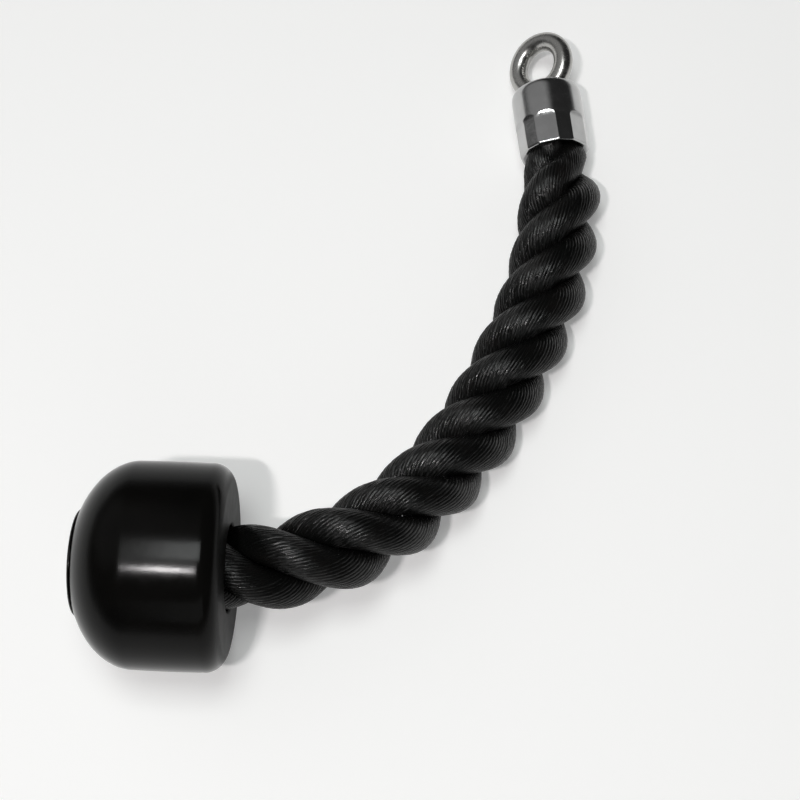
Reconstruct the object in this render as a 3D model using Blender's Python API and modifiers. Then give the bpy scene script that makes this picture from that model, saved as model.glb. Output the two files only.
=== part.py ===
"""Triceps rope attachment, lying on a table.

A length of three-strand rope runs from a rubber end cap, which stops the hand, to a crimped steel ferrule, and an
eye bolt turns in the ferrule. Sizes are in metres and +Z is up. The rope's route starts at the centre of the cap's
flat inner face and ends at the centre of the ferrule's mouth.
"""

import math

import bmesh
import bpy
import numpy as np
from mathutils import Matrix, Vector

# Fits and cuts
GAP = 0.00035
ROPE_GAP = 0.0005
OVERRUN = 0.002

# Rope
ROPE_D = 0.0300
ROPE_REACH = 0.2236
PITCH_AT_CAP = 0.072
PITCH_AT_FERRULE = 0.057
LAY_START = math.radians(76.6)
LAY_GAP = 0.0007
STRAND_COUNT = 3
RELAX_LENGTH = 0.040
SWELL_LENGTH = 0.020

# The route's points: X and Y as shares of the rope's reach, then the height of the rope's axis, which is 1 on the
# cap's axis, 0 where the rope lies on the table and -1 on the ferrule's axis
ROUTE_SHARES = (
    (0.0000, 0.0000, 1.00), (0.0525, 0.0043, 0.99), (0.1028, 0.0173, 0.94), (0.1504, 0.0375, 0.84),
    (0.1937, 0.0639, 0.70), (0.2334, 0.0953, 0.54), (0.2697, 0.1314, 0.37), (0.3027, 0.1708, 0.22),
    (0.3327, 0.2131, 0.10), (0.3605, 0.2567, 0.02), (0.3857, 0.3019, 0.00), (0.4085, 0.3488, 0.00),
    (0.4302, 0.3967, 0.00), (0.4495, 0.4460, 0.00), (0.4659, 0.4961, 0.00), (0.4782, 0.5474, 0.00),
    (0.4870, 0.5998, 0.00), (0.4918, 0.6521, -0.10), (0.4900, 0.7046, -0.70), (0.4843, 0.7567, -1.00),
)
FERRULE_HEADING = math.radians(98.9)
ROUTE_SAMPLES = 30

# How far the rope is squeezed, as shares of its own diameter
CAP_BORE_SHARE = 0.95
COLLAR_BORE_SHARE = 0.90
SWELL_SHARES = ((0.25, 0.79), (0.45, 0.82), (0.85, 0.99), (1.00, 1.00))
SWELL_START_SHARE = 0.08

# End cap
CAP_D = 0.0700
CAP_LENGTH = 0.0535
DOME_DEPTH = 0.0225
DOME_POWER = 2.0
CAP_RIM_FILLET = 0.0065
CAP_BORE_FILLET = 0.0010
LAND_MARGIN = 0.0005
END_ROOM = 0.0040

# Collar on the rope's end inside the cap
COLLAR_LENGTH = 0.0130
COLLAR_WALL = 0.0028
COLLAR_CHAMFER = 0.0005

# Plug in the cap's outer end
PLUG_HEAD_D = 0.0360
PLUG_EDGE = 0.0006
PLUG_CROWN = 0.0010
SPIGOT_LENGTH = 0.0080
SPIGOT_CHAMFER = 0.0008

# Ferrule
FERRULE_D = 0.0265
FERRULE_LENGTH = 0.0266
SHOULDER_LENGTH = 0.0035
SHOULDER_WIDTH = 0.00135
LIP_WIDTH = 0.0015
LIP_DEPTH = 0.0033
LIP_CHAMFER = 0.0003
CHAMBER_WALL = 0.00165
CHAMBER_ROOM = 0.0006
GRIP_WALL = 0.00235
MOUTH_WALL = 0.00145
MOUTH_NARROWING = 0.0015
MOUTH_LENGTH = 0.0050
MOUTH_ROUND = 0.0004
CRIMP_LENGTH = 0.0128
WIDE_FLAT_DEPTH = 0.00061
NARROW_FLAT_DEPTH = 0.00031
CRIMP_FILLET = 0.0020
CRIMP_TURN = math.radians(15.2)

# Eye bolt and its bearing
EYE_WIRE_D = 0.0072
EYE_HOLE_D = 0.0130
EYE_SINK = 0.0020
EYE_TURN = math.radians(36.8)
NECK_D = 0.0104
NECK_WAIST = 0.0002
NECK_FLARE = 0.0024
SHANK_D = 0.0080
SHANK_PROUD = 0.0007
SHANK_CHAMFER = 0.0004
PLATE_THICKNESS = 0.0040
PLATE_CHAMFER = 0.0004
WASHER_D = 0.0160
WASHER_THICKNESS = 0.0012
NUT_FLATS = 0.0130
NUT_HEIGHT = 0.0048
NUT_CHAMFER = 0.0008

# Facets
ROUND_STEPS = 52
SMALL_STEPS = 32
HEX_STEPS = 6
ARC_STEPS = 5
STRAND_SIDES_RESOLUTION = 4
SHARP_ANGLE = math.radians(32)
MERGE_DISTANCE = 0.00001

# Radii worked out from the diameters
ROPE_R = ROPE_D / 2
CAP_R = CAP_D / 2
FERRULE_R = FERRULE_D / 2
EYE_WIRE_R = EYE_WIRE_D / 2
EYE_MEAN_R = EYE_HOLE_D / 2 + EYE_WIRE_R
NECK_R = NECK_D / 2
SHANK_R = SHANK_D / 2
PLUG_HEAD_R = PLUG_HEAD_D / 2

# Depths in the cap, measured from its inner face
LAND_R = PLUG_HEAD_R + LAND_MARGIN
DOME_START = CAP_LENGTH - DOME_DEPTH
LAND_DEPTH = DOME_START + DOME_DEPTH * (1 - (LAND_R / CAP_R) ** DOME_POWER) ** (1 / DOME_POWER)
HEAD_DEPTH = LAND_DEPTH + GAP
SPIGOT_DEPTH = HEAD_DEPTH - SPIGOT_LENGTH
COLLAR_DEPTH = SPIGOT_DEPTH - END_ROOM - COLLAR_LENGTH
CAP_SHOULDER_DEPTH = COLLAR_DEPTH - GAP
CAP_BORE_R = ROPE_R * CAP_BORE_SHARE + ROPE_GAP
COLLAR_BORE_R = ROPE_R * COLLAR_BORE_SHARE + ROPE_GAP
COLLAR_R = COLLAR_BORE_R + COLLAR_WALL
COUNTERBORE_R = COLLAR_R + GAP

# Heights in the ferrule, measured from its mouth towards the eye
RIM_R = FERRULE_R - SHOULDER_WIDTH
LIP_R = RIM_R - LIP_WIDTH
CHAMBER_R = FERRULE_R - CHAMBER_WALL
GRIP_R = FERRULE_R - GRIP_WALL
MOUTH_R = FERRULE_R - MOUTH_NARROWING
MOUTH_BORE_R = MOUTH_R - MOUTH_WALL
LIP_UNDERSIDE = FERRULE_LENGTH - LIP_DEPTH
PLATE_TOP = LIP_UNDERSIDE - GAP
PLATE_BOTTOM = PLATE_TOP - PLATE_THICKNESS
WASHER_TOP = PLATE_BOTTOM - GAP
WASHER_BOTTOM = WASHER_TOP - WASHER_THICKNESS
NUT_TOP = WASHER_BOTTOM - GAP
NUT_BOTTOM = NUT_TOP - NUT_HEIGHT
SHANK_END = NUT_BOTTOM - SHANK_PROUD
CHAMBER_FLOOR = SHANK_END - CHAMBER_ROOM
EYE_HEIGHT = FERRULE_LENGTH - EYE_SINK + EYE_MEAN_R + EYE_WIRE_R


def clear_scene():
    """Removes what the file opened with."""
    for scene_object in list(bpy.data.objects):
        bpy.data.objects.remove(scene_object, do_unlink=True)


def new_collection(name):
    collection = bpy.data.collections.new(name)
    bpy.context.scene.collection.children.link(collection)
    return collection


def new_empty(name, parent, collection, matrix=None):
    empty = bpy.data.objects.new(name, None)
    empty.parent = parent
    if matrix is not None:
        empty.matrix_local = matrix
    collection.objects.link(empty)
    return empty


def give_material(piece, colour, roughness, metallic):
    """Gives a piece a Principled material of its own."""
    material = bpy.data.materials.new(piece.name + "_material")
    material.use_nodes = True
    shader = material.node_tree.nodes["Principled BSDF"]
    shader.inputs["Base Color"].default_value = (*colour, 1)
    shader.inputs["Roughness"].default_value = roughness
    shader.inputs["Metallic"].default_value = metallic
    piece.data.materials.append(material)


def rubber(piece):
    give_material(piece, (0.018, 0.018, 0.019), 0.42, 0)


def nylon(piece):
    give_material(piece, (0.012, 0.012, 0.013), 0.35, 0)


def chrome(piece):
    give_material(piece, (0.62, 0.62, 0.61), 0.10, 1)


def zinc_plate(piece):
    give_material(piece, (0.55, 0.55, 0.52), 0.35, 1)


def link(piece, parent, collection):
    piece.parent = parent
    collection.objects.link(piece)
    return piece


def arc(centre, radii, start, end, steps=ARC_STEPS):
    """Points on a quarter or other arc of a profile; radii are across and along the axis."""
    angles = [start + (end - start) * step / steps for step in range(steps + 1)]
    return [(centre[0] + radii[0] * math.cos(a), centre[1] + radii[1] * math.sin(a)) for a in angles]


def turned(name, profile, steps=ROUND_STEPS, ring=True):
    """Turns a profile of (radius, height) points round Z.

    The points run down the outer side. A ring's profile is closed by its bore, and any other runs from axis to axis.
    """
    count = len(profile)
    edges = [(index, (index + 1) % count) for index in range(count if ring else count - 1)]
    outline = bpy.data.meshes.new(name + "_profile")
    outline.from_pydata([(radius, 0, height) for radius, height in profile], edges, [])
    piece = bpy.data.objects.new(name, outline)
    screw = piece.modifiers.new("turn", "SCREW")
    screw.axis = "Z"
    screw.steps = steps
    screw.render_steps = steps
    screw.use_merge_vertices = True
    screw.merge_threshold = MERGE_DISTANCE
    return piece


def cut(piece, tool, operation, cutters):
    """Adds a Boolean of a tool that stands in the piece's own frame."""
    tool.parent = piece
    tool.hide_render = True
    tool.display_type = "WIRE"
    cutters.objects.link(tool)
    boolean = piece.modifiers.new(operation.lower(), "BOOLEAN")
    boolean.operation = operation
    boolean.solver = "EXACT"
    boolean.object = tool


def smooth_round(piece):
    """Fixes the modifiers' result as the piece's mesh and shades it smooth up to the sharp angle."""
    bpy.context.view_layer.update()
    evaluated = piece.evaluated_get(bpy.context.evaluated_depsgraph_get())
    mesh = bpy.data.meshes.new_from_object(evaluated)
    mesh.name = piece.name
    piece.modifiers.clear()
    piece.data = mesh
    mesh.shade_smooth()
    mesh.set_sharp_from_angle(angle=SHARP_ANGLE)


def route_points():
    """The chosen points of the rope's axis, from the cap's face to the ferrule's mouth."""
    points = []
    for x_share, y_share, height_share in ROUTE_SHARES:
        step = CAP_R - ROPE_R if height_share > 0 else ROPE_R - FERRULE_R
        points.append((x_share * ROPE_REACH, y_share * ROPE_REACH, ROPE_R + height_share * step))
    return np.array(points)


def smooth_route():
    """Close samples on the cubic curve through the route's points, and the length along it at each."""
    points = route_points()
    spans = np.linalg.norm(np.diff(points, axis=0), axis=1)
    last = len(points) - 1
    matrix = np.eye(last + 1)
    slopes = np.zeros_like(points)
    slopes[0] = (1, 0, 0)
    slopes[last] = (math.cos(FERRULE_HEADING), math.sin(FERRULE_HEADING), 0)
    for i in range(1, last):
        before, after = spans[i - 1], spans[i]
        matrix[i, i - 1:i + 2] = (after, 2 * (before + after), before)
        rise_before = (points[i] - points[i - 1]) * after / before
        rise_after = (points[i + 1] - points[i]) * before / after
        slopes[i] = 3 * (rise_before + rise_after)
    slopes = np.linalg.solve(matrix, slopes)
    samples = []
    for i in range(last):
        for u in np.arange(ROUTE_SAMPLES) / ROUTE_SAMPLES:
            samples.append((1 + 2 * u) * (1 - u) ** 2 * points[i] + u * (1 - u) ** 2 * spans[i] * slopes[i]
                           + u * u * (3 - 2 * u) * points[i + 1] - u * u * (1 - u) * spans[i] * slopes[i + 1])
    samples = np.array(samples + [points[last]])
    lengths = np.concatenate(([0], np.cumsum(np.linalg.norm(np.diff(samples, axis=0), axis=1))))
    return samples, lengths


def strand_radius():
    """The fattest round strand that leaves the lay gap to its neighbours at the shorter pitch."""
    pitch = min(PITCH_AT_CAP, PITCH_AT_FERRULE)
    turns = np.linspace(-0.5, 0.5, 1001)
    angles = 2 * math.pi * (turns + 1 / STRAND_COUNT)
    low, high = 0, ROPE_R / 2
    for _ in range(40):
        radius = (low + high) / 2
        helix = ROPE_R - radius
        across = helix * np.hypot(np.cos(angles) - 1, np.sin(angles))
        if np.hypot(across, pitch * turns).min() - 2 * radius > LAY_GAP:
            low = radius
        else:
            high = radius
    return low


def eased(position, knots, values):
    """A value between knots that starts and ends level on each."""
    index = int(np.clip(np.searchsorted(knots, position) - 1, 0, len(knots) - 2))
    share = (position - knots[index]) / (knots[index + 1] - knots[index])
    share = min(max(share, 0), 1)
    share = share * share * (3 - 2 * share)
    return values[index] + (values[index + 1] - values[index]) * share


class Rope:
    """The rope's axis, its lay and how far it is squeezed, by the length from the cap's face."""

    def __init__(self):
        self.samples, self.lengths = smooth_route()
        self.free_length = self.lengths[-1]
        self.strand_radius = strand_radius()
        self.grip_share = (GRIP_R - ROPE_GAP) / ROPE_R
        self.mouth_share = (MOUTH_BORE_R - ROPE_GAP) / ROPE_R
        self.start = self.strand_radius * COLLAR_BORE_SHARE + GAP - SPIGOT_DEPTH
        self.end = self.free_length + SHANK_END - GAP - self.strand_radius * self.grip_share

    def axis(self, length):
        """The axis point at a length; the rope runs straight inside the cap and the ferrule."""
        heading = np.array((math.cos(FERRULE_HEADING), math.sin(FERRULE_HEADING), 0))
        if length < 0:
            return self.samples[0] + np.array((length, 0, 0))
        if length > self.free_length:
            return self.samples[-1] + heading * (length - self.free_length)
        return np.array([np.interp(length, self.lengths, self.samples[:, axis]) for axis in range(3)])

    def sides(self, length):
        """Unit vectors square to the axis: level to its right, and upwards."""
        ahead = ROPE_R / 10
        along = self.axis(length + ahead) - self.axis(length - ahead)
        right = np.cross(along, (0, 0, 1))
        up = np.cross(right, along)
        return right / np.linalg.norm(right), up / np.linalg.norm(up)

    def squeeze(self, length):
        """The rope's diameter at a length as a share of its free diameter."""
        swell = [(self.free_length - SWELL_LENGTH * place, share) for place, share in SWELL_SHARES]
        mouth = self.free_length - SWELL_LENGTH * SWELL_START_SHARE
        grip = self.free_length + MOUTH_LENGTH
        table = [(-CAP_SHOULDER_DEPTH, COLLAR_BORE_SHARE), (END_ROOM - CAP_SHOULDER_DEPTH, CAP_BORE_SHARE),
                 (0, CAP_BORE_SHARE), (RELAX_LENGTH, 1)]
        table += swell[::-1] + [(mouth, self.mouth_share), (grip, self.grip_share)]
        knots, values = zip(*table)
        return eased(length, knots, values)

    def lay_angle(self, length):
        """The first strand's angle about the axis, from the right side upwards."""
        quickening = (1 / PITCH_AT_FERRULE - 1 / PITCH_AT_CAP) / self.free_length
        turns = length / PITCH_AT_CAP + quickening * length * length / 2
        return LAY_START - 2 * math.pi * turns

    def strand_point(self, number, length):
        """A point of a strand's own centre line."""
        angle = self.lay_angle(length) + 2 * math.pi * number / STRAND_COUNT
        right, up = self.sides(length)
        helix = (ROPE_R - self.strand_radius) * self.squeeze(length)
        return self.axis(length) + helix * (math.cos(angle) * right + math.sin(angle) * up)

    def stations(self):
        """Lengths along the rope with a section each, closer where the rope swells out of the ferrule."""
        swell_start = self.free_length - SWELL_LENGTH
        inside_cap = np.linspace(self.start, 0, 9, endpoint=False)
        free = np.linspace(0, swell_start, 50, endpoint=False)
        swelling = np.linspace(swell_start, self.free_length, 10, endpoint=False)
        inside_ferrule = np.linspace(self.free_length, self.end, 4)
        return np.concatenate((inside_cap, free, swelling, inside_ferrule))


def strand(rope, number, parent, parts):
    """One strand of the rope, whole from the cap's collar to the ferrule's grip."""
    stations = rope.stations()
    curve = bpy.data.curves.new("strand_{}".format(number + 1), "CURVE")
    curve.dimensions = "3D"
    curve.bevel_depth = rope.strand_radius
    curve.bevel_resolution = STRAND_SIDES_RESOLUTION
    curve.use_fill_caps = True
    spline = curve.splines.new("POLY")
    spline.points.add(len(stations) - 1)
    for point, length in zip(spline.points, stations):
        point.co = (*rope.strand_point(number, length), 1)
        point.radius = rope.squeeze(length)
    piece = link(bpy.data.objects.new(curve.name, curve), parent, parts)
    nylon(piece)


def end_cap(parent, parts):
    """The turned rubber knob: flat inner face, rounded rim, straight wall, domed end and stepped bore."""
    rim = arc((CAP_R - CAP_RIM_FILLET, CAP_RIM_FILLET), (CAP_RIM_FILLET, CAP_RIM_FILLET), 0, -math.pi / 2, 6)
    mouth = arc((CAP_BORE_R + CAP_BORE_FILLET, CAP_BORE_FILLET), (CAP_BORE_FILLET, CAP_BORE_FILLET),
                -math.pi / 2, -math.pi, 3)
    dome = []
    dome_steps = 9
    land_angle = math.acos((LAND_R / CAP_R) ** (DOME_POWER / 2))
    for step in range(dome_steps, -1, -1):
        angle = land_angle * step / dome_steps
        dome.append((CAP_R * math.cos(angle) ** (2 / DOME_POWER),
                     DOME_START + DOME_DEPTH * math.sin(angle) ** (2 / DOME_POWER)))
    bore = [(CAP_BORE_R, CAP_SHOULDER_DEPTH), (COUNTERBORE_R, CAP_SHOULDER_DEPTH), (COUNTERBORE_R, LAND_DEPTH)]
    piece = link(turned("end_cap", dome + rim + mouth + bore), parent, parts)
    smooth_round(piece)
    rubber(piece)


def cap_collar(parent, parts):
    """The steel band crimped round the rope's end, which bears on the cap's shoulder."""
    top = COLLAR_DEPTH + COLLAR_LENGTH
    profile = [(COLLAR_BORE_R, top), (COLLAR_R - COLLAR_CHAMFER, top), (COLLAR_R, top - COLLAR_CHAMFER),
               (COLLAR_R, COLLAR_DEPTH + COLLAR_CHAMFER), (COLLAR_R - COLLAR_CHAMFER, COLLAR_DEPTH),
               (COLLAR_BORE_R, COLLAR_DEPTH)]
    piece = link(turned("cap_collar", profile), parent, parts)
    smooth_round(piece)
    zinc_plate(piece)


def cap_plug(parent, parts):
    """The crowned cover of the cap's outer end, with a spigot in the counterbore."""
    spigot_r = COUNTERBORE_R - GAP
    edge_top = HEAD_DEPTH + PLUG_EDGE
    crown = arc((0, edge_top), (PLUG_HEAD_R - PLUG_EDGE / 2, PLUG_CROWN), math.pi / 2, 0, 6)
    profile = crown + [(PLUG_HEAD_R, edge_top - PLUG_EDGE / 2), (PLUG_HEAD_R, HEAD_DEPTH),
                       (spigot_r, HEAD_DEPTH), (spigot_r, SPIGOT_DEPTH + SPIGOT_CHAMFER),
                       (spigot_r - SPIGOT_CHAMFER, SPIGOT_DEPTH), (0, SPIGOT_DEPTH)]
    piece = link(turned("cap_plug", profile, ring=False), parent, parts)
    smooth_round(piece)
    rubber(piece)


def crimp_die(name, flat_depth, turn):
    """A hexagonal die whose bore presses six flats; its upper inner edge is rounded."""
    corner = 1 / math.cos(math.pi / HEX_STEPS)
    bore = FERRULE_R - flat_depth
    outside = (FERRULE_R + OVERRUN * 2) * corner
    fillet = arc(((bore + CRIMP_FILLET) * corner, CRIMP_LENGTH - CRIMP_FILLET),
                 (CRIMP_FILLET * corner, CRIMP_FILLET), math.pi, math.pi / 2)
    profile = [(outside, CRIMP_LENGTH), (outside, -OVERRUN), (bore * corner, -OVERRUN)] + fillet
    die = turned(name, profile, HEX_STEPS)
    die.rotation_euler.z = turn + math.pi / HEX_STEPS
    return die


def ferrule(parent, parts, cutters):
    """The steel sleeve: rounded shoulder, lip over the swivel chamber, grip bore and two rounds of crimp flats."""
    shoulder = arc((FERRULE_R - SHOULDER_WIDTH, FERRULE_LENGTH - SHOULDER_LENGTH),
                   (SHOULDER_WIDTH, SHOULDER_LENGTH), math.pi / 2, 0)
    mouth_edge = arc((MOUTH_R - MOUTH_ROUND, MOUTH_ROUND), (MOUTH_ROUND, MOUTH_ROUND), 0, -math.pi / 2, 3)
    bore = [(MOUTH_BORE_R, 0), (GRIP_R, MOUTH_LENGTH), (GRIP_R, CHAMBER_FLOOR), (CHAMBER_R, CHAMBER_FLOOR),
            (CHAMBER_R, LIP_UNDERSIDE), (LIP_R, LIP_UNDERSIDE), (LIP_R, FERRULE_LENGTH - LIP_CHAMFER),
            (LIP_R + LIP_CHAMFER, FERRULE_LENGTH)]
    profile = shoulder + [(FERRULE_R, MOUTH_LENGTH)] + mouth_edge + bore
    piece = link(turned("ferrule", profile), parent, parts)
    half_flat = math.pi / HEX_STEPS
    cut(piece, crimp_die("wide_crimp_die", WIDE_FLAT_DEPTH, CRIMP_TURN), "DIFFERENCE", cutters)
    cut(piece, crimp_die("narrow_crimp_die", NARROW_FLAT_DEPTH, CRIMP_TURN + half_flat), "DIFFERENCE", cutters)
    smooth_round(piece)
    chrome(piece)


def swivel_plate(parent, parts):
    """The disc under the ferrule's lip that the eye bolt turns in."""
    radius = CHAMBER_R - GAP
    hole = SHANK_R + GAP
    profile = [(hole, PLATE_TOP), (radius - PLATE_CHAMFER, PLATE_TOP), (radius, PLATE_TOP - PLATE_CHAMFER),
               (radius, PLATE_BOTTOM + PLATE_CHAMFER), (radius - PLATE_CHAMFER, PLATE_BOTTOM), (hole, PLATE_BOTTOM)]
    piece = link(turned("swivel_plate", profile, SMALL_STEPS), parent, parts)
    smooth_round(piece)
    zinc_plate(piece)


def eye_bolt(parent, parts, cutters):
    """The forged ring with its neck and shank, in one piece."""
    bpy.ops.mesh.primitive_torus_add(major_segments=48, minor_segments=16, major_radius=EYE_MEAN_R,
                                     minor_radius=EYE_WIRE_R)
    ring = bpy.context.object
    ring.name = "eye_bolt"
    for collection in list(ring.users_collection):
        collection.objects.unlink(ring)
    link(ring, parent, parts)
    ring.data.transform(Matrix.Translation((0, 0, EYE_HEIGHT)) @ Matrix.Rotation(math.pi / 2, 4, "X"))
    waist = EYE_WIRE_R - NECK_WAIST
    neck_bottom = PLATE_TOP + GAP
    flare_bottom = neck_bottom + SHANK_CHAMFER
    flare = arc((NECK_R, flare_bottom + NECK_FLARE), (NECK_R - waist, NECK_FLARE), math.pi, math.pi * 1.5)
    profile = [(0, EYE_HEIGHT - EYE_MEAN_R), (waist, EYE_HEIGHT - EYE_MEAN_R)] + flare
    profile += [(NECK_R, neck_bottom), (SHANK_R, neck_bottom), (SHANK_R, SHANK_END + SHANK_CHAMFER),
                (SHANK_R - SHANK_CHAMFER, SHANK_END), (0, SHANK_END)]
    cut(ring, turned("eye_shank", profile, SMALL_STEPS, ring=False), "UNION", cutters)
    smooth_round(ring)
    chrome(ring)


def thrust_washer(parent, parts):
    """The washer that bears on the underside of the plate."""
    radius = WASHER_D / 2
    hole = SHANK_R + GAP
    profile = [(hole, WASHER_TOP), (radius, WASHER_TOP), (radius, WASHER_BOTTOM), (hole, WASHER_BOTTOM)]
    piece = link(turned("thrust_washer", profile, SMALL_STEPS), parent, parts)
    smooth_round(piece)
    zinc_plate(piece)


def lock_nut(parent, parts, cutters):
    """The hexagonal nut on the shank, its corners chamfered on both faces."""
    corner_r = NUT_FLATS / 2 / math.cos(math.pi / HEX_STEPS)
    shape = bmesh.new()
    bmesh.ops.create_cone(shape, cap_ends=True, segments=HEX_STEPS, radius1=corner_r, radius2=corner_r,
                          depth=NUT_HEIGHT)
    bmesh.ops.translate(shape, verts=shape.verts, vec=(0, 0, (NUT_TOP + NUT_BOTTOM) / 2))
    mesh = bpy.data.meshes.new("lock_nut")
    shape.to_mesh(mesh)
    shape.free()
    piece = link(bpy.data.objects.new("lock_nut", mesh), parent, parts)
    outside = corner_r + GAP
    flat_r = NUT_FLATS / 2
    hole = SHANK_R + GAP
    slope = NUT_CHAMFER / (corner_r - flat_r)
    drop = (outside - flat_r) * slope
    blank = [(hole, NUT_TOP + GAP), (flat_r - GAP / slope, NUT_TOP + GAP), (outside, NUT_TOP - drop),
             (outside, NUT_BOTTOM + drop), (flat_r - GAP / slope, NUT_BOTTOM - GAP), (hole, NUT_BOTTOM - GAP)]
    cut(piece, turned("nut_blank", blank, SMALL_STEPS), "INTERSECT", cutters)
    smooth_round(piece)
    zinc_plate(piece)


def stand_at_bottom_centre(root, parts):
    """Moves the whole so that the middle of its lowest level is the origin."""
    bpy.context.view_layer.update()
    depsgraph = bpy.context.evaluated_depsgraph_get()
    corners = []
    for piece in parts.objects:
        if piece.type == "EMPTY":
            continue
        evaluated = piece.evaluated_get(depsgraph)
        mesh = evaluated.to_mesh()
        corners += [evaluated.matrix_world @ vertex.co for vertex in mesh.vertices]
        evaluated.to_mesh_clear()
    low = Vector([min(corner[axis] for corner in corners) for axis in range(3)])
    high = Vector([max(corner[axis] for corner in corners) for axis in range(3)])
    middle = (low + high) / 2
    root.location = (-middle.x, -middle.y, -low.z)
    bpy.context.view_layer.update()


def main():
    clear_scene()
    parts = new_collection("triceps_rope_attachment")
    cutters = new_collection("cutters")
    root = new_empty("attachment", None, parts)
    rope = Rope()

    # The cap's frame stands on its inner face, with Z out of the domed end
    cap_axis = new_empty("cap_axis", root, parts,
                         Matrix.Translation((0, 0, CAP_R)) @ Matrix.Rotation(-math.pi / 2, 4, "Y"))
    # The ferrule's frame stands in its mouth, with Z towards the eye and X level to the right
    mouth = Vector(rope.samples[-1])
    along = Vector((math.cos(FERRULE_HEADING), math.sin(FERRULE_HEADING), 0))
    right = Vector((along.y, -along.x, 0))
    turn = Matrix((right, along.cross(right), along)).transposed().to_4x4()
    ferrule_axis = new_empty("ferrule_axis", root, parts, Matrix.Translation(mouth) @ turn)
    eye_swivel = new_empty("eye_swivel", ferrule_axis, parts, Matrix.Rotation(-EYE_TURN, 4, "Z"))

    for number in range(STRAND_COUNT):
        strand(rope, number, root, parts)
    end_cap(cap_axis, parts)
    cap_collar(cap_axis, parts)
    cap_plug(cap_axis, parts)
    ferrule(ferrule_axis, parts, cutters)
    swivel_plate(ferrule_axis, parts)
    eye_bolt(eye_swivel, parts, cutters)
    thrust_washer(eye_swivel, parts)
    lock_nut(eye_swivel, parts, cutters)
    stand_at_bottom_centre(root, parts)


main()
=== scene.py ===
import math

import bmesh
import bpy
import numpy as np
from mathutils import Matrix, Vector


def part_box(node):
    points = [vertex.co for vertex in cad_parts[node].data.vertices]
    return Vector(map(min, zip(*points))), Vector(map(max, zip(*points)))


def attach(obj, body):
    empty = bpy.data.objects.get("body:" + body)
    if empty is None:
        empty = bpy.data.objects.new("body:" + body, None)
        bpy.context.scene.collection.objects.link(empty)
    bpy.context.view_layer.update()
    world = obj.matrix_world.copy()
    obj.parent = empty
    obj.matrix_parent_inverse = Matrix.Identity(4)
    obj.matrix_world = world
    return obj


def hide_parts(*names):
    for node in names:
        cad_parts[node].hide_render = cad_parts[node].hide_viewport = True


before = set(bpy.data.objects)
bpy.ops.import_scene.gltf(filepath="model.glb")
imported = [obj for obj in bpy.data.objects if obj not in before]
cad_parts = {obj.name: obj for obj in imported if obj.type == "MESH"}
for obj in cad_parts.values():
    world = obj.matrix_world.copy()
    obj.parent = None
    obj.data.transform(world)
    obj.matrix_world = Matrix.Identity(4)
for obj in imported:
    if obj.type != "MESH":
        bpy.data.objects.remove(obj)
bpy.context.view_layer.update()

# All sizes are in metres. The rope's route and the camera's place are measured from the middle of the cap's
# inner face, at the height of the table
cap_low, cap_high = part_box("end_cap")
ORIGIN = np.array((cap_high.x, (cap_low.y + cap_high.y) / 2, cap_low.z))

# Camera
CAMERA_PLACE = (0.067716, -0.127431, 0.582332)
CAMERA_AIM = (0.053406, 0.073719, -0.000138)
CAMERA_ROLL = -0.03143
CAMERA_LENS_MM = 75.4
CAMERA_SENSOR_MM = 36
CAMERA_CLIP_START = 0.01

# Rope
ROUTE = (
    (0.00000, 0.00000, 0.03500), (0.01174, 0.00096, 0.03480), (0.02299, 0.00387, 0.03380),
    (0.03363, 0.00839, 0.03180), (0.04331, 0.01429, 0.02900), (0.05219, 0.02131, 0.02580),
    (0.06030, 0.02938, 0.02240), (0.06768, 0.03819, 0.01940), (0.07439, 0.04765, 0.01700),
    (0.08061, 0.05740, 0.01540), (0.08624, 0.06750, 0.01500), (0.09134, 0.07799, 0.01500),
    (0.09619, 0.08870, 0.01500), (0.10051, 0.09973, 0.01500), (0.10418, 0.11093, 0.01500),
    (0.10693, 0.12240, 0.01500), (0.10889, 0.13412, 0.01500), (0.10997, 0.14581, 0.01482),
    (0.10956, 0.15755, 0.01377), (0.10829, 0.16920, 0.01325),
)
ROUTE_SAMPLES = 30
HEADING = math.radians(98.9)
PITCH_AT_CAP = 0.072
PITCH_AT_FERRULE = 0.057
LAY_START = math.radians(76.6)
STRAND_COUNT = 3
STRAND_R = 0.00650
STRAND_OFFSET = 0.00888
ROPE_START = -0.0200
ROPE_END_PAST_MOUTH = 0.0060
ROW_STEP = 0.0013
DIRECTION_STEP = 0.0015
TABLE_CLEARANCE = 0.00003

# The rope's diameter as shares of its free one, by the length from the cap's face or from the ferrule's mouth
COLLAR_SHOULDER = 0.02510
SQUEEZE_AT_CAP = ((-COLLAR_SHOULDER, 0.90), (-0.02110, 0.95), (0, 0.95), (0.040, 1))
SQUEEZE_AT_FERRULE = (
    (-0.020, 1), (-0.017, 0.99), (-0.009, 0.83), (-0.0030, 0.79), (-0.0003, 0.655), (0.005, 0.693),
)

# Yarns: ridges along each strand, of unlike heights, which swing to the sides and swell at their own paces.
# The twist is their turns round the strand for each turn of the lay
YARNS = 27
YARN_SEED = 11
COLUMNS_PER_YARN = 6
COLUMNS = YARNS * COLUMNS_PER_YARN
YARN_TWIST = 2.7
YARN_RELIEF = 0.00017
YARN_ARC_SHARE = 0.80
YARN_HEIGHTS = (-0.00007, 0.00005)
YARN_PACES = (0.010, 0.022)
YARN_SWING = 0.010
YARN_SWELL = 0.00003
SWELL_PACE_SHARE = 0.6

# The yarns' map: across in yarns, with each strand a step further, and along in centimetres
YARN_MAP = "yarns"
YARN_MAP_LENGTH_SCALE = 100
YARN_MAP_STRAND_STEP = 40

# The strands press on each other, so their hidden sides are fuller, most of all by the ferrule. The angles
# are counted from a strand's outermost line
PRESSED_SHARE = 0.045
PRESSED_SHARE_AT_FERRULE = 0.16
PRESSED_BEFORE_MOUTH = (0.016, 0.006)
PRESSED_ANGLES = (0.9, 1.7)

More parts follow.
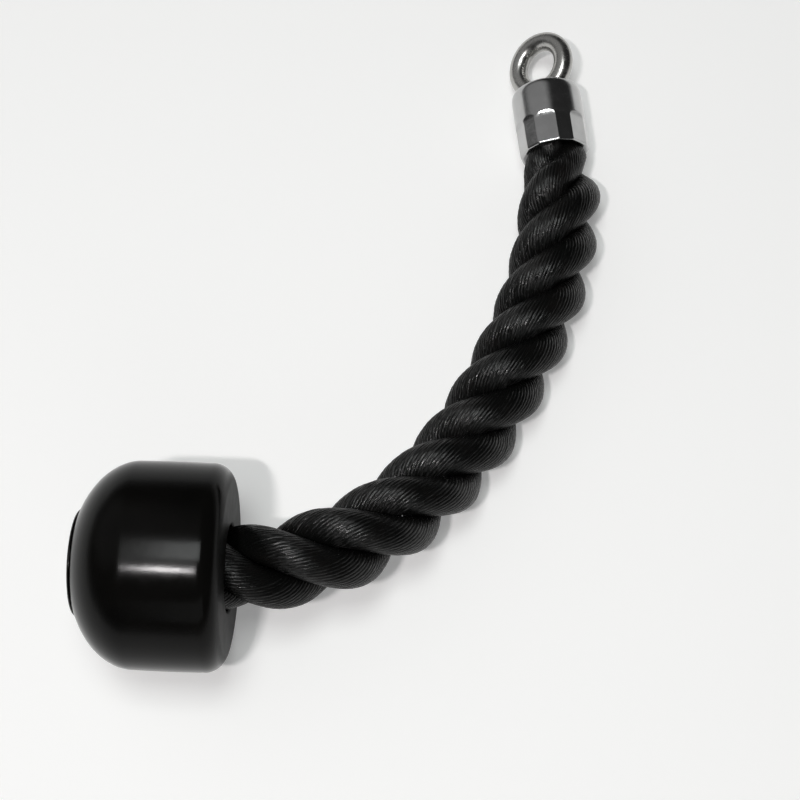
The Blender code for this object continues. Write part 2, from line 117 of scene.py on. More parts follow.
# End cap and plug; depths run from the cap's inner face to its domed end
GAP = 0.00035
CAP_R = 0.0350
CAP_LENGTH = 0.0535
DOME_DEPTH = 0.0225
DOME_START = CAP_LENGTH - DOME_DEPTH
RIM_FILLET = 0.0065
WALL_BOW = 0.00014
WALL_BOW_REACH = 0.0124
WALL_BOW_MOST = 1.6
BORE_R = 0.01475
BORE_FILLET = 0.0010
COUNTERBORE_R = 0.01715
LAND_R = 0.0185
LAND_DEPTH = DOME_START + DOME_DEPTH * math.sqrt(1 - (LAND_R / CAP_R) ** 2)
PLUG_R = 0.0180
PLUG_CROWN = 0.0010
PLUG_EDGE = 0.0006
SPIGOT_LENGTH = 0.0080
SPIGOT_CHAMFER = 0.0008

# Ferrule; heights run from its mouth to the eye
FERRULE_R = 0.01325
FERRULE_LENGTH = 0.0266
FERRULE_STEPS = 360
SHOULDER_LENGTH = 0.0035
SHOULDER_WIDTH = 0.00135
LIP_R = FERRULE_R - SHOULDER_WIDTH - 0.0015
LIP_UNDERSIDE = FERRULE_LENGTH - 0.0033
CHAMFER = 0.0003
CHAMBER_R = FERRULE_R - 0.00165
CHAMBER_FLOOR = 0.0099
GRIP_R = FERRULE_R - 0.00235
GRIP_START = 0.0050
MOUTH_R = FERRULE_R - 0.00295
MOUTH_TAPER = 0.0001
MOUTH_ROUND = 0.0008
CRIMP_TURN = math.radians(15.2)
CRIMP_TOP = 0.0128
CRIMP_RUN_OUT = 0.0004
CRIMP_FILLET = 0.0042
CRIMP_FILLET_SHARE = 0.9
CRIMP_SOFTNESS = 0.00016
CRIMP_DEPTHS_AND_TURNS = ((0.00072, CRIMP_TURN), (0.00040, CRIMP_TURN + math.pi / 6))
CRIMP_ROWS = (0.0137, 0.0095)

# Eye bolt
WIRE_R = 0.0036
EYE_MEAN_R = 0.0101
EYE_SINK = 0.0020
EYE_HEIGHT = FERRULE_LENGTH - EYE_SINK + EYE_MEAN_R + WIRE_R
EYE_TURN = math.radians(36.8)
NECK_R = 0.0052
NECK_WAIST_R = WIRE_R - 0.0002
NECK_FLARE = 0.0024
SHANK_R = 0.0040
SHANK_END = 0.0112
SHANK_CHAMFER = 0.0004

# Finish
MERGE_DISTANCE = 0.000001
COARSE_FROM_FACE = (0.0016, 0.0002)
BRIGHT_CHROME = (0.50, 0.50, 0.50)
RUBBED_CHROME = (0.47, 0.465, 0.45)
DULL_ZINC = (0.52, 0.52, 0.49)

# Light
WARM_WHITE = (1.0, 0.965, 0.97)
COOL_WHITE = (0.96, 1.0, 0.99)
FLOOR_HALF = 20
FLOOR_COLOUR = (0.86, 0.86, 0.85, 1)
FLOOR_GLOW = 0.24
WHITE = (1, 1, 1, 1)
WINDOW_TURN = math.radians(-58)
WINDOW_RISE = math.radians(45)
WINDOW_EDGES = (math.radians(44), math.radians(20))

# The strip of light overhead runs along Y; each row is a smooth step of its strength between two levels of Y
STRIP_SHIFT = 0.14
STRIP_STEPS = ((-0.42, -0.20, 0.0, 1.0), (-0.10, 0.38, 4.0, 1.2), (0.20, 0.40, 1.0, 0.0))


def place_camera():
    """The camera, which looks down on the table."""
    camera = bpy.data.objects.new("camera", bpy.data.cameras.new("camera"))
    camera.data.lens = CAMERA_LENS_MM
    camera.data.sensor_width = CAMERA_SENSOR_MM
    camera.data.clip_start = CAMERA_CLIP_START
    camera.location = Vector(ORIGIN + np.array(CAMERA_PLACE))
    aim = Vector(ORIGIN + np.array(CAMERA_AIM)) - camera.location
    turned = aim.to_track_quat("-Z", "Y").to_matrix()
    camera.rotation_euler = (turned @ Matrix.Rotation(CAMERA_ROLL, 3, "Z")).to_euler()
    bpy.context.scene.collection.objects.link(camera)
    bpy.context.scene.camera = camera


place_camera()


def mesh_object(name, points, faces, smooth=True):
    """A mesh object in the row frame."""
    mesh = bpy.data.meshes.new(name)
    mesh.from_pydata([tuple(point) for point in points], [], faces)
    mesh.validate()
    piece = bpy.data.objects.new(name, mesh)
    bpy.context.scene.collection.objects.link(piece)
    if smooth:
        mesh.shade_smooth()
    return piece


def ring_faces(rows, columns, base=0, closed=True):
    """Faces between rows of points that each make a ring; closed joins the last ring to the first as well."""
    faces = []
    for row in range(rows if closed else rows - 1):
        after_row = (row + 1) % rows
        for column in range(columns):
            after = (column + 1) % columns
            faces.append((base + row * columns + column, base + after_row * columns + column,
                          base + after_row * columns + after, base + row * columns + after))
    return faces


def ease(value, low, high):
    """0 up to low, 1 from high, and smooth between."""
    share = np.clip((value - low) / (high - low), 0, 1)
    return share * share * (3 - 2 * share)


def unit(vectors):
    return vectors / np.linalg.norm(vectors, axis=-1, keepdims=True)


# The rope's route and lay
def smooth_route():
    """Close samples on the clamped cubic curve through the route's points, with the length at each."""
    points = np.array(ROUTE)
    spans = np.linalg.norm(np.diff(points, axis=0), axis=1)
    last = len(points) - 1
    matrix = np.eye(last + 1)
    slopes = np.zeros_like(points)
    slopes[0] = (1, 0, 0)
    slopes[last] = (math.cos(HEADING), math.sin(HEADING), 0)
    for i in range(1, last):
        before, after = spans[i - 1], spans[i]
        matrix[i, i - 1:i + 2] = (after, 2 * (before + after), before)
        rise_before = (points[i] - points[i - 1]) * after / before
        rise_after = (points[i + 1] - points[i]) * before / after
        slopes[i] = 3 * (rise_before + rise_after)
    slopes = np.linalg.solve(matrix, slopes)
    samples = []
    for i in range(last):
        for u in np.arange(ROUTE_SAMPLES) / ROUTE_SAMPLES:
            samples.append((1 + 2 * u) * (1 - u) ** 2 * points[i] + u * (1 - u) ** 2 * spans[i] * slopes[i]
                           + u * u * (3 - 2 * u) * points[i + 1] - u * u * (1 - u) * spans[i] * slopes[i + 1])
    samples = np.array(samples + [points[last]]) + ORIGIN
    lengths = np.concatenate(([0], np.cumsum(np.linalg.norm(np.diff(samples, axis=0), axis=1))))
    return samples, lengths


route, route_lengths = smooth_route()
free_length = route_lengths[-1]
heading = np.array((math.cos(HEADING), math.sin(HEADING), 0))


def axis_points(lengths):
    """Points of the rope's axis; it runs straight inside the cap and the ferrule."""
    points = np.stack([np.interp(lengths, route_lengths, route[:, i]) for i in range(3)], axis=1)
    before = np.minimum(lengths, 0)[:, None] * np.array((1, 0, 0))
    after = np.maximum(lengths - free_length, 0)[:, None] * heading
    return points + before + after


def axis_frame(lengths):
    """Unit vectors level to the rope's right, and upwards."""
    along = unit(axis_points(lengths + DIRECTION_STEP) - axis_points(lengths - DIRECTION_STEP))
    right = unit(np.cross(along, (0, 0, 1)))
    return right, np.cross(right, along)


def squeeze(lengths):
    """The rope's diameter at each length as a share of its free diameter."""
    table = list(SQUEEZE_AT_CAP) + [(free_length + length, share) for length, share in SQUEEZE_AT_FERRULE]
    knots, shares = np.array(table).T
    spot = np.clip(np.searchsorted(knots, lengths) - 1, 0, len(knots) - 2)
    return shares[spot] + (shares[spot + 1] - shares[spot]) * ease(lengths, knots[spot], knots[spot + 1])


def lay_turns(lengths):
    """Turns of the lay since the cap's face; the pitch shortens evenly towards the ferrule."""
    quickening = (1 / PITCH_AT_FERRULE - 1 / PITCH_AT_CAP) / free_length
    return lengths / PITCH_AT_CAP + quickening * lengths * lengths / 2


# The rope: three strands, each a mesh whose columns follow its yarns
def strand_points(number, lengths, random):
    """The rings of points round a strand, and its centre line."""
    right, up = axis_frame(lengths)
    share = squeeze(lengths)
    turns = lay_turns(lengths)
    angle = LAY_START - 2 * math.pi * turns + 2 * math.pi * number / STRAND_COUNT
    out = np.cos(angle)[:, None] * right + np.sin(angle)[:, None] * up
    centre = axis_points(lengths) + STRAND_OFFSET * share[:, None] * out
    strand_along = unit(np.gradient(centre, axis=0))
    side = unit(np.cross(strand_along, out))
    out = np.cross(side, strand_along)

    place = np.arange(COLUMNS) / COLUMNS_PER_YARN
    within = place % 1 * 2 - 1
    bow = np.sqrt(1 - (within * YARN_ARC_SHARE) ** 2)
    relief = (bow - 1) / (1 - math.sqrt(1 - YARN_ARC_SHARE ** 2)) * YARN_RELIEF
    yarn = place.astype(int)
    height = random.uniform(*YARN_HEIGHTS, YARNS)[yarn]
    wander = random.uniform(0, 2 * math.pi, YARNS)[yarn]
    pace = random.uniform(*YARN_PACES, YARNS)[yarn]
    swing = YARN_SWING * np.sin(2 * math.pi * lengths[:, None] / pace + wander)
    around = 2 * math.pi * place / YARNS - 2 * math.pi * YARN_TWIST * turns[:, None] + swing
    radius = STRAND_R + relief + height
    radius = radius + YARN_SWELL * np.sin(2 * math.pi * lengths[:, None] / (pace * SWELL_PACE_SHARE))
    turned_in = np.abs((around + math.pi) % (2 * math.pi) - math.pi)
    press_start, press_end = (free_length - before for before in PRESSED_BEFORE_MOUTH)
    pressed = PRESSED_SHARE + PRESSED_SHARE_AT_FERRULE * ease(lengths, press_start, press_end)
    radius = radius * (1 + pressed[:, None] * ease(turned_in, *PRESSED_ANGLES)) * share[:, None]
    rings = (centre[:, None, :] + (radius * np.cos(around))[:, :, None] * out[:, None, :]
             + (radius * np.sin(around))[:, :, None] * side[:, None, :])
    rings[:, :, 2] = np.maximum(rings[:, :, 2], TABLE_CLEARANCE)
    return rings, centre


def rope_mesh(lengths):
    """The points and faces of the three strands, each closed by a fan of faces at both ends."""
    random = np.random.default_rng(YARN_SEED)
    points, faces = [], []
    for number in range(STRAND_COUNT):
        rings, centre = strand_points(number, lengths, random)
        first = len(points)
        last = first + (len(lengths) - 1) * COLUMNS
        start_centre = last + COLUMNS
        points.extend(rings.reshape(-1, 3))
        points += [centre[0], centre[-1]]
        faces += ring_faces(len(lengths), COLUMNS, first, closed=False)
        for column in range(COLUMNS):
            after = (column + 1) % COLUMNS
            faces.append((first + column, first + after, start_centre))
            faces.append((last + after, last + column, start_centre + 1))
    return points, faces


def yarn_corners(lengths):
    """The face corners' places on the yarns' map: across in yarns, and along in centimetres."""
    step = 1 / COLUMNS_PER_YARN
    along = lengths * YARN_MAP_LENGTH_SCALE
    corners = []
    for number in range(STRAND_COUNT):
        left_sides = np.arange(COLUMNS) / COLUMNS_PER_YARN + number * YARN_MAP_STRAND_STEP
        for low, high in zip(along, along[1:]):
            for left in left_sides:
                corners += [(left, low), (left, high), (left + step, high), (left + step, low)]
        for left in left_sides:
            for end in (along[0], along[-1]):
                corners += [(left, end), (left + step, end), (left, end)]
    return np.array(corners)


rope_lengths = np.arange(ROPE_START, free_length + ROPE_END_PAST_MOUTH, ROW_STEP)
rope = mesh_object("rope", *rope_mesh(rope_lengths))
rope.data.uv_layers.new(name=YARN_MAP).data.foreach_set("uv", yarn_corners(rope_lengths).ravel())

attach(rope, "rope_end")
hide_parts("strand_1", "strand_2", "strand_3")


# Turned pieces
def arc(centre, radii, start, end, steps):
    """Points on an arc of a profile; radii are across and along the axis."""
    angles = np.linspace(start, end, steps + 1)
    return [(centre[0] + radii[0] * math.cos(a), centre[1] + radii[1] * math.sin(a)) for a in angles]


def turned_points(profile, placing, steps):
    """A ring round the local Z for each (radius, height) of a profile; placing puts it in the row frame."""
    points = []
    for radius, height in profile:
        for step in range(steps):
            angle = 2 * math.pi * step / steps
            points.append(placing @ Vector((radius * math.cos(angle), radius * math.sin(angle), height)))
    return points


def finish_turned(piece, sharp_degrees=40):
    """Joins doubled points, turns the faces outwards and keeps the sharp edges sharp."""
    weld = piece.modifiers.new("weld", "WELD")
    weld.merge_threshold = MERGE_DISTANCE
    bpy.context.view_layer.update()
    evaluated = piece.evaluated_get(bpy.context.evaluated_depsgraph_get())
    mesh = bpy.data.meshes.new_from_object(evaluated)
    piece.modifiers.clear()
    piece.data = mesh
    shell = bmesh.new()
    shell.from_mesh(mesh)
    bmesh.ops.recalc_face_normals(shell, faces=shell.faces)
    shell.to_mesh(mesh)
    shell.free()
    mesh.shade_smooth()
    mesh.set_sharp_from_angle(angle=math.radians(sharp_degrees))
    return piece


def lathe(name, profile, placing, steps, closed=True):
    """A piece turned from a profile; a closed profile is a ring's, and any other runs from axis to axis."""
    faces = ring_faces(len(profile), steps, closed=closed)
    return finish_turned(mesh_object(name, turned_points(profile, placing, steps), faces))


def cap_profile():
    """Dome, wall, rounded rim, flat face, mouth and stepped bore; the outside bows a little all the way."""
    land_angle = math.acos(LAND_R / CAP_R)
    dome = arc((0, DOME_START), (CAP_R, DOME_DEPTH), land_angle, 0, steps=39)
    wall = [(CAP_R, height) for height in np.linspace(DOME_START, RIM_FILLET, 25)[1:-1]]
    rim = arc((CAP_R - RIM_FILLET, RIM_FILLET), (RIM_FILLET, RIM_FILLET), 0, -math.pi / 2, steps=20)
    outside = []
    for radius, height in dome + wall + rim:
        off_middle = height - (DOME_START + RIM_FILLET) / 2
        bow = WALL_BOW * min(abs(off_middle) / WALL_BOW_REACH, WALL_BOW_MOST) ** 2
        outside.append((radius - bow * (radius / CAP_R), height))
    face = [(radius, 0) for radius in np.linspace(CAP_R - RIM_FILLET, BORE_R + BORE_FILLET, 8)[1:-1]]
    mouth = arc((BORE_R + BORE_FILLET, BORE_FILLET), (BORE_FILLET, BORE_FILLET), -math.pi / 2, -math.pi,
                steps=8)
    bore = [(BORE_R, COLLAR_SHOULDER), (COUNTERBORE_R, COLLAR_SHOULDER), (COUNTERBORE_R, LAND_DEPTH)]
    return outside + face + mouth + bore


def plug_profile():
    """The plug's crowned head and its spigot in the counterbore."""
    head_depth = LAND_DEPTH + GAP
    edge_top = head_depth + PLUG_EDGE
    spigot_r = COUNTERBORE_R - GAP
    spigot_end = head_depth - SPIGOT_LENGTH
    crown = arc((0, edge_top), (PLUG_R - PLUG_EDGE / 2, PLUG_CROWN), math.pi / 2, 0, steps=24)
    return crown + [(PLUG_R, edge_top - PLUG_EDGE / 2), (PLUG_R, head_depth), (spigot_r, head_depth),
                    (spigot_r, spigot_end + SPIGOT_CHAMFER), (spigot_r - SPIGOT_CHAMFER, spigot_end),
                    (0, spigot_end)]


cap_middle = Matrix.Translation(tuple(ORIGIN + np.array((0, 0, CAP_R))))
cap_placing = cap_middle @ Matrix.Rotation(-math.pi / 2, 4, "Y")
cap = lathe("end_cap_rubber", cap_profile(), cap_placing, steps=192)
plug = lathe("cap_plug_rubber", plug_profile(), cap_placing, steps=128, closed=False)

# Ferrule
mouth_point = Vector(route[-1])
along_ferrule = Vector(heading)
right_of_ferrule = Vector((along_ferrule.y, -along_ferrule.x, 0))
ferrule_turn = Matrix((right_of_ferrule, along_ferrule.cross(right_of_ferrule), along_ferrule))
ferrule_placing = Matrix.Translation(mouth_point) @ ferrule_turn.transposed().to_4x4()


def soft_min(a, b, width):
    """The smaller of two numbers, rounded where they meet."""
    share = np.clip(0.5 + 0.5 * (b - a) / width, 0, 1)
    return b + (a - b) * share - width * share * (1 - share)


def crimp_radius(round_r, height, angles, depth, turn):
    """The radii that a hexagonal die leaves at a height, where the sleeve's own is round_r."""
    reach = math.sqrt(2 * CRIMP_FILLET * depth - depth ** 2)
    rise = min(max(height - (CRIMP_TOP - reach), 0), CRIMP_FILLET * CRIMP_FILLET_SHARE)
    flat = round_r - depth + CRIMP_FILLET - math.sqrt(CRIMP_FILLET ** 2 - rise ** 2)
    if height > CRIMP_TOP + CRIMP_RUN_OUT:
        flat = FERRULE_R * 2
    off = (angles - turn + math.pi / 6) % (math.pi / 3) - math.pi / 6
    return flat / np.cos(off)


def ferrule_outside():
    """The sleeve's outer profile before it is crimped, with close rows where the flats run out."""
    shoulder_bottom = FERRULE_LENGTH - SHOULDER_LENGTH
    profile = arc((FERRULE_R - SHOULDER_WIDTH, shoulder_bottom), (SHOULDER_WIDTH, SHOULDER_LENGTH),
                  math.pi / 2, 0, steps=14)
    levels = (shoulder_bottom, *CRIMP_ROWS, GRIP_START)
    for top, bottom, count in zip(levels, levels[1:], (14, 44, 12)):
        profile += [(FERRULE_R, height) for height in np.linspace(top, bottom, count)[1:]]
    for height in np.linspace(GRIP_START, MOUTH_ROUND, 10)[1:]:
        taper = MOUTH_TAPER * (GRIP_START - height) / (GRIP_START - MOUTH_ROUND)
        profile.append((FERRULE_R - taper, height))
    edge_centre = (FERRULE_R - MOUTH_TAPER - MOUTH_ROUND, MOUTH_ROUND)
    return profile + arc(edge_centre, (MOUTH_ROUND, MOUTH_ROUND), 0, -math.pi / 2, steps=10)[1:]


def ferrule_mesh():
    """The crimped sleeve, with the rope's grip, the swivel's chamber and the open recess inside its lip."""
    outside = ferrule_outside()
    inside = [(MOUTH_R + CHAMFER, 0), (MOUTH_R, CHAMFER), (GRIP_R, GRIP_START), (GRIP_R, CHAMBER_FLOOR),
              (CHAMBER_R, CHAMBER_FLOOR), (CHAMBER_R, LIP_UNDERSIDE), (LIP_R, LIP_UNDERSIDE),
              (LIP_R, FERRULE_LENGTH - CHAMFER), (LIP_R + CHAMFER, FERRULE_LENGTH)]
    angles = 2 * math.pi * np.arange(FERRULE_STEPS) / FERRULE_STEPS
    points = []
    for radius, height in outside:
        ring = np.full(FERRULE_STEPS, radius)
        for depth, turn in CRIMP_DEPTHS_AND_TURNS:
            ring = soft_min(ring, crimp_radius(radius, height, angles, depth, turn), CRIMP_SOFTNESS)
        for size, angle in zip(ring, angles):
            points.append(ferrule_placing @ Vector((size * math.cos(angle), size * math.sin(angle), height)))
    points += turned_points(inside, ferrule_placing, FERRULE_STEPS)
    return points, ring_faces(len(outside) + len(inside), FERRULE_STEPS)


ferrule = finish_turned(mesh_object("ferrule_chrome", *ferrule_mesh()), sharp_degrees=50)

# Eye: ring, neck and shank
eye_placing = ferrule_placing @ Matrix.Rotation(-EYE_TURN, 4, "Z")


def eye_mesh():
    """The forged ring, and its neck and shank, which turn in the ferrule."""
    around, across, shank_steps = 144, 64, 96
    points = []
    for step in range(around):
        turn = 2 * math.pi * step / around
        for side in range(across):
            tilt = 2 * math.pi * side / across
            reach = EYE_MEAN_R + WIRE_R * math.cos(tilt)
            points.append(eye_placing @ Vector((reach * math.cos(turn), WIRE_R * math.sin(tilt),
                                                EYE_HEIGHT + reach * math.sin(turn))))
    wire_middle = EYE_HEIGHT - EYE_MEAN_R
    flare = arc((NECK_R, LIP_UNDERSIDE + SHANK_CHAMFER + NECK_FLARE), (NECK_R - NECK_WAIST_R, NECK_FLARE),
                math.pi, math.pi * 1.5, steps=12)
    profile = [(0, wire_middle), (NECK_WAIST_R, wire_middle)] + flare
    profile += [(NECK_R, LIP_UNDERSIDE), (SHANK_R, LIP_UNDERSIDE), (SHANK_R, SHANK_END + SHANK_CHAMFER),
                (SHANK_R - SHANK_CHAMFER, SHANK_END), (0, SHANK_END)]
    faces = ring_faces(around, across) + ring_faces(len(profile), shank_steps, len(points), closed=False)
    return points + turned_points(profile, eye_placing, shank_steps), faces


eye = finish_turned(mesh_object("eye_chrome", *eye_mesh()), sharp_degrees=50)

for piece, body, node, slot in (
    (cap, "rope_end", "end_cap", "rubber"),
    (plug, "rope_end", "cap_plug", "rubber"),
    (ferrule, "rope_end", "ferrule", "chrome"),
    (eye, "eye", "eye_bolt", "chrome"),
):
    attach(piece, body)
    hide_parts(node)


# Materials
class Graph:
    """A node tree, with short ways to add its nodes and join them."""

    def __init__(self, tree):
        self.tree = tree

    def set(self, socket, value):
        """Links a node's output to a socket, or gives the socket a constant."""
        if isinstance(value, bpy.types.NodeSocket):
            self.tree.links.new(value, socket)
        else:
            socket.default_value = value

    def fill(self, node, sockets):
        """Gives a node's sockets their values, by their names or numbers."""
        for key, value in sockets.items():
            self.set(node.inputs[key], value)

    def node(self, kind, sockets=None, **settings):
        """A new node with its sockets' values and its settings."""
        node = self.tree.nodes.new("ShaderNode" + kind)
        for name, value in settings.items():
            setattr(node, name, value)
        self.fill(node, sockets or {})
        return node

    def combine(self, operation, first, second):
        """A number made of two others."""
        return self.node("Math", {0: first, 1: second}, operation=operation).outputs[0]

    def mapped(self, vector, scale, rotation=(0, 0, 0)):
        """Stretched and turned coordinates."""
        sockets = {"Vector": vector, "Scale": scale, "Rotation": rotation}
        return self.node("Mapping", sockets).outputs["Vector"]

    def noise(self, vector, scale, detail=3.0, roughness=0.55):
        sockets = {"Vector": vector, "Scale": scale, "Detail": detail, "Roughness": roughness}
        return self.node("TexNoise", sockets).outputs["Fac"]

    def stretch(self, value, low, high, from_low, from_high, curve="LINEAR"):
        """Maps a value's range from from_low to from_high to one from low to high."""
        sockets = {"Value": value, "To Min": low, "To Max": high, "From Min": from_low, "From Max": from_high}
        return self.node("MapRange", sockets, interpolation_type=curve).outputs["Result"]

    def soft_step(self, value, low, high, start, end):
        """A smooth step from start to end while a value goes from low to high."""
        return self.stretch(value, start, end, low, high, "SMOOTHSTEP")

    def ramp(self, value, *stops):
        """The colour of a value between stops, each a place and its colour."""
        node = self.node("ValToRGB", {"Fac": value})
        elements = node.color_ramp.elements
        while len(elements) < len(stops):
            elements.new(0.5)
        for element, (place, colour) in zip(elements, stops):
            element.position = place
            element.color = (*colour, 1)
        return node.outputs["Color"]

    def bump(self, height, distance, strength, below=None):
        """A bumpy normal, on top of another where one is given."""
        sockets = {"Height": height, "Distance": distance, "Strength": strength}
        if below is not None:
            sockets["Normal"] = below
        return self.node("Bump", sockets).outputs["Normal"]


def new_material(name):
    """A material with its graph, its Principled shader and the coordinates of the row frame."""
    material = bpy.data.materials.new(name)
    material.use_nodes = True
    graph = Graph(material.node_tree)
    place = graph.node("TexCoord").outputs["Object"]
    return material, graph, material.node_tree.nodes["Principled BSDF"], place


def rope_material():
    """Black filament yarn: fine fibres along each yarn, the slant of its plies, and tufts that shine more."""
    material, graph, shader, place = new_material("rope_yarn")
    yarns = graph.node("UVMap", uv_map=YARN_MAP).outputs["UV"]
    fibres = graph.noise(graph.mapped(yarns, (9, 1.2, 1)), scale=1.0, detail=4.0, roughness=0.6)
    slant = graph.mapped(yarns, (1.3, 4.2, 1), (0, 0, math.radians(38)))
    plies = graph.node("TexWave", {"Vector": slant, "Scale": 0.62, "Distortion": 1.4, "Detail": 2.0},
                       wave_type="BANDS", bands_direction="X").outputs["Fac"]
    tufts = graph.noise(graph.mapped(yarns, (2.6, 4.5, 1)), scale=1.0, detail=2.0, roughness=0.5)
    colour = graph.ramp(graph.noise(place, scale=90.0), (0.30, (0.0022, 0.0025, 0.0024)),
                        (0.55, (0.0036, 0.0036, 0.0034)), (0.75, (0.0060, 0.0052, 0.0049)))
    along_yarns = graph.node("Tangent", direction_type="UV_MAP", uv_map=YARN_MAP).outputs["Tangent"]
    ply_bump = graph.bump(plies, distance=0.00010, strength=0.25)
    graph.fill(shader, {
        "Base Color": colour,
        "Roughness": graph.stretch(tufts, 0.12, 0.40, 0.36, 0.64),
        "Normal": graph.bump(fibres, distance=0.00012, strength=0.42, below=ply_bump),
        "Tangent": along_yarns,
        "Anisotropic": 1.0,
        "Specular IOR Level": 0.28,
    })
    return material


def rubber_material(name):
    """Black moulded rubber, satin, with a fine grain and faint handling marks; the inner face is duller."""
    material, graph, shader, place = new_material(name)
    colour = graph.ramp(graph.noise(place, scale=38.0, detail=4.0), (0.35, (0.0024, 0.0024, 0.0022)),
                        (0.60, (0.0036, 0.0034, 0.0031)), (0.80, (0.0055, 0.0050, 0.0045)))
    marks = graph.noise(place, scale=160.0, detail=5.0, roughness=0.65)
    satin = graph.stretch(marks, 0.12, 0.18, 0.3, 0.7)
    along = graph.node("SeparateXYZ", {0: place}).outputs["X"]
    coarse_start, coarse_end = (cap_high.x - depth for depth in COARSE_FROM_FACE)
    coarse = graph.stretch(along, 0.0, 0.34, coarse_start, coarse_end)
    soft_bump = graph.bump(graph.noise(place, scale=300.0, detail=1.0), distance=0.00005, strength=0.15)
    grain = graph.noise(place, scale=2600.0, detail=2.0)
    graph.fill(shader, {
        "Base Color": colour,
        "Roughness": graph.combine("ADD", satin, coarse),
        "Normal": graph.bump(grain, distance=0.00003, strength=0.40, below=soft_bump),
        "Specular IOR Level": 0.10,
    })
    return material


def steel_material(name, colour, roughness, scratch_depth):
    """Plated steel with faint scratches, rubbed patches and a little waviness."""
    material, graph, shader, place = new_material(name)
    darker = tuple(0.90 * part for part in colour)
    tint = graph.ramp(graph.noise(place, scale=120.0, detail=4.0), (0.35, darker), (0.65, colour))
    rubbed = graph.noise(place, scale=320.0, detail=5.0, roughness=0.7)
    lines = graph.mapped(place, (3.0, 60.0, 9.0), (0.4, 0.2, math.radians(25)))
    scratches = graph.noise(lines, scale=45.0, detail=3.0, roughness=0.6)
    wave_bump = graph.bump(graph.noise(place, scale=150.0, detail=1.0), distance=0.00010, strength=0.25)
    graph.fill(shader, {
        "Base Color": tint,
        "Metallic": 1.0,
        "Roughness": graph.stretch(rubbed, roughness * 0.7, roughness * 1.6, 0.3, 0.75),
        "Normal": graph.bump(scratches, distance=scratch_depth, strength=0.3, below=wave_bump),
    })
    return material


def dress(piece, look):
    """Gives a piece its only material."""
    piece.data.materials.clear()
    piece.data.materials.append(look)


rope_look = rope_material()
cap_look = rubber_material("cap_rubber")
plug_look = rubber_material("plug_rubber")
chrome_look = steel_material("bright_chrome", BRIGHT_CHROME, roughness=0.15, scratch_depth=0.00002)
eye_look = steel_material("rubbed_chrome", RUBBED_CHROME, roughness=0.24, scratch_depth=0.00003)
zinc_look = steel_material("dull_zinc", DULL_ZINC, roughness=0.36, scratch_depth=0.00004)

for piece, look, hidden_nodes in (
    (rope, rope_look, ("strand_1", "strand_2", "strand_3")),
    (cap, cap_look, ("end_cap",)),
    (plug, plug_look, ("cap_plug",)),
    (ferrule, chrome_look, ("ferrule",)),
    (eye, eye_look, ("eye_bolt",)),
):
    dress(piece, look)
    for node in hidden_nodes:
        dress(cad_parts[node], look)
for node in ("cap_collar", "swivel_plate", "thrust_washer", "lock_nut"):
    dress(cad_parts[node], zinc_look)


def lay_floor():
    """A pale matt floor, lifted a little where the camera or a shiny surface sees it."""
    corners = [(x * FLOOR_HALF, y * FLOOR_HALF, 0) for x, y in ((-1, -1), (1, -1), (1, 1), (-1, 1))]
    floor = mesh_object("floor", corners, [(0, 1, 2, 3)], smooth=False)
    look = bpy.data.materials.new("pale_floor")
    look.use_nodes = True
    look.node_tree.nodes.clear()
    graph = Graph(look.node_tree)
    rays = graph.node("LightPath").outputs
    mirrored = graph.combine("MAXIMUM", rays["Is Glossy Ray"], rays["Is Transmission Ray"])
    seen = graph.combine("MAXIMUM", rays["Is Camera Ray"], mirrored)
    glow = graph.combine("MULTIPLY", seen, FLOOR_GLOW)
    matt = graph.node("BsdfDiffuse", {"Color": FLOOR_COLOUR}).outputs[0]
    white = graph.node("Emission", {"Color": WHITE, "Strength": glow}).outputs[0]
    both = graph.node("AddShader", {0: matt, 1: white}).outputs[0]
    graph.node("OutputMaterial", {"Surface": both})
    dress(floor, look)


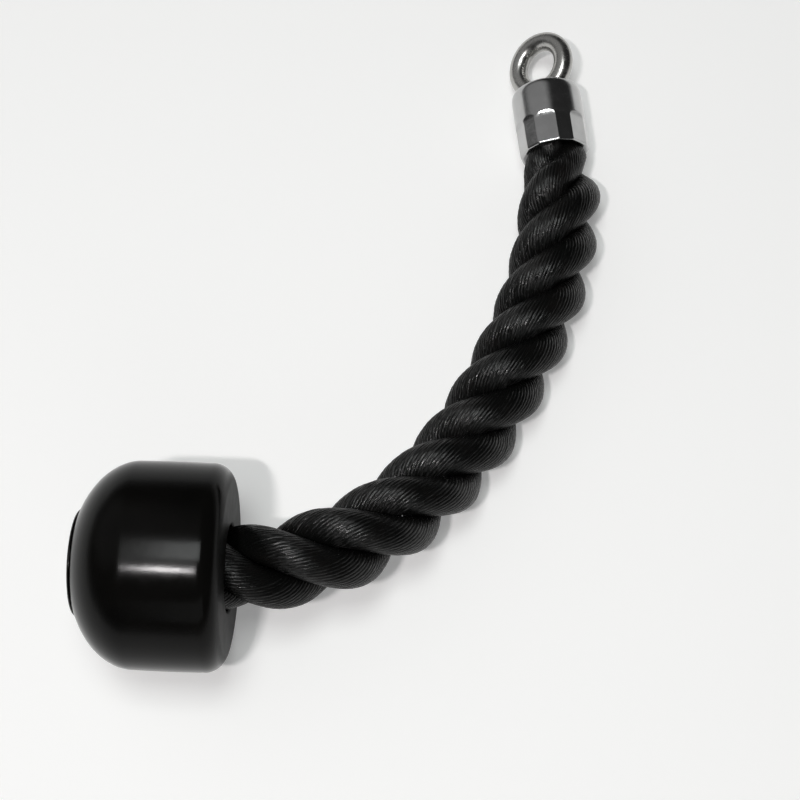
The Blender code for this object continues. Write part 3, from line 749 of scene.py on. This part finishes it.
def panel(name, place, target, width, height, radiance, colour):
    """A soft rectangular lamp of a given brightness, facing a target."""
    lamp = bpy.data.lights.new(name, "AREA")
    lamp.shape = "RECTANGLE"
    lamp.size = width
    lamp.size_y = height
    lamp.energy = radiance * math.pi * width * height
    lamp.color = colour
    holder = bpy.data.objects.new(name, lamp)
    holder.location = place
    holder.rotation_euler = (Vector(target) - Vector(place)).to_track_quat("-Z", "Y").to_euler()
    bpy.context.scene.collection.objects.link(holder)


def light_room():
    """A soft window on one side, a strip of light overhead, and a low glow all round."""
    world = bpy.data.worlds.new("room")
    world.use_nodes = True
    bpy.context.scene.world = world
    graph = Graph(world.node_tree)
    towards = graph.node("TexCoord").outputs["Generated"]
    direction = graph.node("SeparateXYZ", {0: towards}).outputs
    window = (math.sin(WINDOW_TURN) * math.cos(WINDOW_RISE), math.cos(WINDOW_TURN) * math.cos(WINDOW_RISE),
              math.sin(WINDOW_RISE))
    facing = graph.node("VectorMath", {0: towards, 1: window}, operation="DOT_PRODUCT").outputs["Value"]
    window_light = graph.soft_step(facing, *(math.cos(edge) for edge in WINDOW_EDGES), start=0.0, end=0.30)
    low_light = graph.soft_step(direction["Z"], 0.00, 0.20, start=0.26, end=0.03)
    aside = graph.combine("ABSOLUTE", graph.combine("ADD", direction["X"], STRIP_SHIFT), 0.0)
    strip = graph.soft_step(aside, 0.00, 0.15, start=1.0, end=0.0)
    for low, high, start, end in STRIP_STEPS:
        strip = graph.combine("MULTIPLY", strip, graph.soft_step(direction["Y"], low, high, start, end))
    from_above = graph.soft_step(direction["Z"], 0.2, 0.4, start=0.0, end=1.0)
    overhead = graph.combine("MULTIPLY", strip, from_above)
    strength = graph.combine("ADD", graph.combine("ADD", window_light, overhead), low_light)
    graph.fill(world.node_tree.nodes["Background"], {"Strength": strength, "Color": WHITE})


lay_floor()
panel("key_lamp", (-0.215, -0.425, 1.10), (0, 0, 0.03), width=0.09, height=0.028, radiance=600,
      colour=WARM_WHITE)
panel("ceiling_lamp", (-0.05, -0.02, 1.30), (-0.05, -0.02, 0), width=0.42, height=0.40, radiance=8.5,
      colour=COOL_WHITE)
panel("front_wall", (0.3, -1.7, 0.9), (0, 0, 0.03), width=1.4, height=0.8, radiance=0.50, colour=COOL_WHITE)
light_room()
bpy.context.scene.view_settings.view_transform = "Standard"
